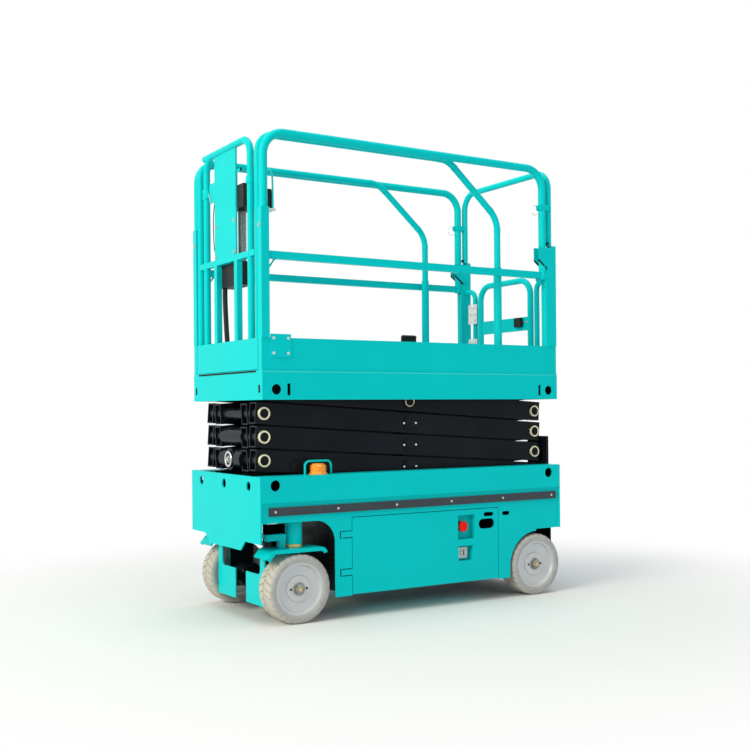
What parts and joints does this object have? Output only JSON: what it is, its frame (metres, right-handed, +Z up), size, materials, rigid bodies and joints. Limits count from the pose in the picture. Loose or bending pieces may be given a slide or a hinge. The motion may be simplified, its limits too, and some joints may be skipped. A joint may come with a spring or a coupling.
{
  "type": "scissor lift",
  "caption": "Self-propelled electric scissor lift with steered front wheels, crossed lifting arms and a railed platform with a sliding extension deck.",
  "frame": {"origin": "on the floor under the middle of the chassis", "axes": "+X towards the steered end, +Y left, +Z up"},
  "size_m": [1.684, 0.76, 2.162],
  "materials": {
    "teal_paint": "gloss",
    "black_paint": "gloss",
    "bright_steel": "satin",
    "tyre": "matte",
    "rim_paint": "satin",
    "strip_rubber": "matte",
    "amber_lens": "gloss",
    "red_plastic": "gloss",
    "black_plastic": "matte"
  },
  "bodies": {
    "chassis": {"chassis_frame": "teal_paint", "lower_side_left": "teal_paint", "lower_side_right": "teal_paint", "front_axle": "teal_paint", "inner_frame": "black_paint", "scissor_base": "black_paint", "rub_strips": "strip_rubber", "beacon": "amber_lens", "beacon_guard": "teal_paint", "rear_axle": "black_paint"},
    "knuckle_left": {"knuckle_left": "teal_paint"},
    "knuckle_right": {"knuckle_right": "teal_paint"},
    "tie_rod": {"tie_rod": "black_paint"},
    "wheel_front_left": {"tyre_front_left": "tyre", "rim_front_left": "rim_paint"},
    "wheel_front_right": {"tyre_front_right": "tyre", "rim_front_right": "rim_paint"},
    "wheel_rear_left": {"tyre_rear_left": "tyre", "rim_rear_left": "rim_paint"},
    "wheel_rear_right": {"tyre_rear_right": "tyre", "rim_rear_right": "rim_paint"},
    "door_left": {"door_left": "teal_paint", "battery_left": "black_plastic", "ground_controls": "red_plastic"},
    "door_right": {"door_right": "teal_paint", "battery_right": "black_plastic"},
    "outer_arms_1": {"outer_arms_1": "black_paint"},
    "inner_arms_1": {"inner_arms_1": "black_paint"},
    "outer_arms_2": {"outer_arms_2": "black_paint"},
    "inner_arms_2": {"inner_arms_2": "black_paint"},
    "outer_arms_3": {"outer_arms_3": "black_paint"},
    "inner_arms_3": {"inner_arms_3": "black_paint"},
    "outer_arms_4": {"outer_arms_4": "black_paint"},
    "inner_arms_4": {"inner_arms_4": "black_paint"},
    "lift_barrel": {"lift_barrel": "black_paint"},
    "lift_rod": {"lift_rod": "bright_steel"},
    "platform": {"platform_deck": "teal_paint", "side_rail_left": "teal_paint", "side_rail_right": "teal_paint", "rear_rails": "teal_paint"},
    "gate": {"gate": "teal_paint"},
    "extension": {"extension_deck": "teal_paint", "extension_rails": "teal_paint", "front_frame": "teal_paint", "control_box": "black_plastic", "manual_box": "black_plastic", "cable": "black_plastic"}
  },
  "joints": [
    {"name": "lift", "type": "hinge", "parent": "chassis", "child": "outer_arms_1", "pos_m": [-0.76824, 0, 0.61], "axis": [0, -1, 0], "range_deg": [0, 53]},
    {"name": "cross_1", "type": "hinge", "parent": "outer_arms_1", "child": "inner_arms_1", "pos_m": [0, 0, 0.662], "axis": [0, 1, 0], "range_deg": [0, 106]},
    {"name": "front_knee_1", "type": "hinge", "parent": "outer_arms_1", "child": "inner_arms_2", "pos_m": [0.76824, 0, 0.714], "axis": [0, 1, 0], "range_deg": [0, 106]},
    {"name": "rear_knee_1", "type": "hinge", "parent": "inner_arms_1", "child": "outer_arms_2", "pos_m": [-0.76824, 0, 0.714], "axis": [0, -1, 0], "range_deg": [0, 106]},
    {"name": "rear_knee_2", "type": "hinge", "parent": "inner_arms_2", "child": "outer_arms_3", "pos_m": [-0.76824, 0, 0.818], "axis": [0, -1, 0], "range_deg": [0, 106]},
    {"name": "front_knee_2", "type": "hinge", "parent": "outer_arms_2", "child": "inner_arms_3", "pos_m": [0.76824, 0, 0.818], "axis": [0, 1, 0], "range_deg": [0, 106]},
    {"name": "front_knee_3", "type": "hinge", "parent": "outer_arms_3", "child": "inner_arms_4", "pos_m": [0.76824, 0, 0.922], "axis": [0, 1, 0], "range_deg": [0, 106]},
    {"name": "rear_knee_3", "type": "hinge", "parent": "inner_arms_3", "child": "outer_arms_4", "pos_m": [-0.76824, 0, 0.922], "axis": [0, -1, 0], "range_deg": [0, 106]},
    {"name": "platform_level", "type": "hinge", "parent": "inner_arms_4", "child": "platform", "pos_m": [-0.76824, 0, 1.026], "axis": [0, -1, 0], "range_deg": [0, 53]},
    {"name": "barrel_swing", "type": "hinge", "parent": "inner_arms_1", "child": "lift_barrel", "pos_m": [0.41852, 0, 0.64069], "axis": [0, 1, 0], "range_deg": [0, 4.28]},
    {"name": "rod_slide", "type": "slide", "parent": "lift_barrel", "child": "lift_rod", "axis": [-0.9932, 0, 0.1167], "range_m": [0, 0.30682]},
    {"name": "steer", "type": "hinge", "parent": "chassis", "child": "knuckle_left", "pos_m": [0.642, 0.3, 0.4], "axis": [0, 0, 1], "range_deg": [-55, 55]},
    {"name": "steer_right", "type": "hinge", "parent": "chassis", "child": "knuckle_right", "pos_m": [0.642, -0.3, 0.4], "axis": [0, 0, 1], "range_deg": [-55, 55]},
    {"name": "tie_rod_swing", "type": "hinge", "parent": "knuckle_left", "child": "tie_rod", "pos_m": [0.77, 0.3, 0.35], "axis": [0, 0, -1], "range_deg": [-55, 55]},
    {"name": "wheel_front_left_spin", "type": "hinge", "parent": "knuckle_left", "child": "wheel_front_left", "pos_m": [0.648, 0.317, 0.1525], "axis": [0, 1, 0], "continuous": true},
    {"name": "wheel_rear_left_spin", "type": "hinge", "parent": "chassis", "child": "wheel_rear_left", "pos_m": [-0.689, 0.317, 0.1525], "axis": [0, 1, 0], "continuous": true},
    {"name": "wheel_front_right_spin", "type": "hinge", "parent": "knuckle_right", "child": "wheel_front_right", "pos_m": [0.648, -0.317, 0.1525], "axis": [0, 1, 0], "continuous": true},
    {"name": "wheel_rear_right_spin", "type": "hinge", "parent": "chassis", "child": "wheel_rear_right", "pos_m": [-0.689, -0.317, 0.1525], "axis": [0, 1, 0], "continuous": true},
    {"name": "door_left_swing", "type": "hinge", "parent": "chassis", "child": "door_left", "pos_m": [0.435, 0.367, 0.28], "axis": [0, 0, -1], "range_deg": [0, 95]},
    {"name": "door_right_swing", "type": "hinge", "parent": "chassis", "child": "door_right", "pos_m": [0.435, -0.367, 0.28], "axis": [0, 0, 1], "range_deg": [0, 95]},
    {"name": "gate_swing", "type": "hinge", "parent": "platform", "child": "gate", "pos_m": [-0.8, -0.262, 1.3], "axis": [0, 0, -1], "range_deg": [0, 90]},
    {"name": "extension_slide", "type": "slide", "parent": "platform", "child": "extension", "axis": [1, 0, 0], "range_m": [0, 0.9]}
  ],
  "couplings": [
    {"joint": "cross_1", "follows": "lift", "ratio": 2},
    {"joint": "front_knee_1", "follows": "lift", "ratio": 2},
    {"joint": "rear_knee_1", "follows": "lift", "ratio": 2},
    {"joint": "rear_knee_2", "follows": "lift", "ratio": 2},
    {"joint": "front_knee_2", "follows": "lift", "ratio": 2},
    {"joint": "front_knee_3", "follows": "lift", "ratio": 2},
    {"joint": "rear_knee_3", "follows": "lift", "ratio": 2},
    {"joint": "platform_level", "follows": "lift", "ratio": 1},
    {"joint": "barrel_swing", "follows": "lift", "ratio": 0.080496},
    {"joint": "rod_slide", "follows": "lift", "m_per_rad": 0.33158},
    {"joint": "steer_right", "follows": "steer", "ratio": 1},
    {"joint": "tie_rod_swing", "follows": "steer", "ratio": 1}
  ]
}
